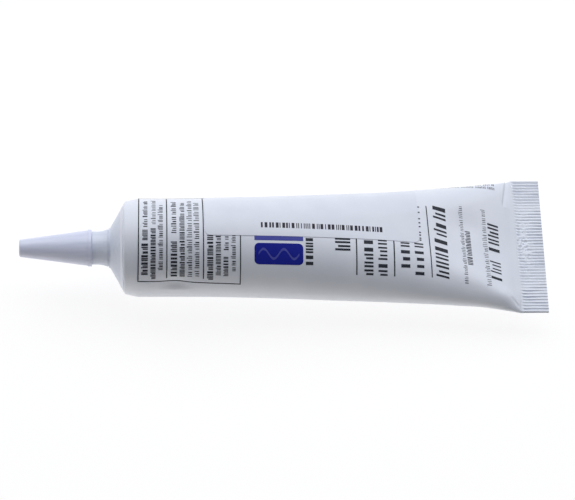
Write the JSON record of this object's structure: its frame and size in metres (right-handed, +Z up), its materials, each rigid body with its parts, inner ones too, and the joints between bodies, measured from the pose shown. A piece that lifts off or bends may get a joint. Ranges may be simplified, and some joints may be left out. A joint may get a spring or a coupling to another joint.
{
  "type": "caulk squeeze tube",
  "caption": "Full squeeze tube of caulk on its side: tapered screw cap, round coned shoulder, plump sleeve that flattens to a ribbed crimped tail, and a paper label.",
  "frame": {"origin": "middle of the part's box, on the surface that the tube lies on", "axes": "+X from the cap to the crimped tail, +Y to the far side, +Z up; the tube's own axis slopes 2.8 degrees down towards the tail"},
  "size_m": [0.1874, 0.0544, 0.0355],
  "materials": {
    "sleeve_film": "satin white extruded polyethylene film",
    "head_plastic": "moulded white polyethylene, satin",
    "cap_plastic": "moulded white polyethylene, satin",
    "label_paper": "smooth coated label paper"
  },
  "bodies": {
    "tube": {"filled_sleeve": "sleeve_film", "tube_head": "head_plastic", "label": "label_paper"},
    "cap": {"cap": "cap_plastic"}
  },
  "joints": [
    {"name": "cap_pull", "type": "slide", "parent": "tube", "child": "cap", "axis": [-0.9988, 0, 0.0489], "range_m": [0, 0.03]}
  ]
}
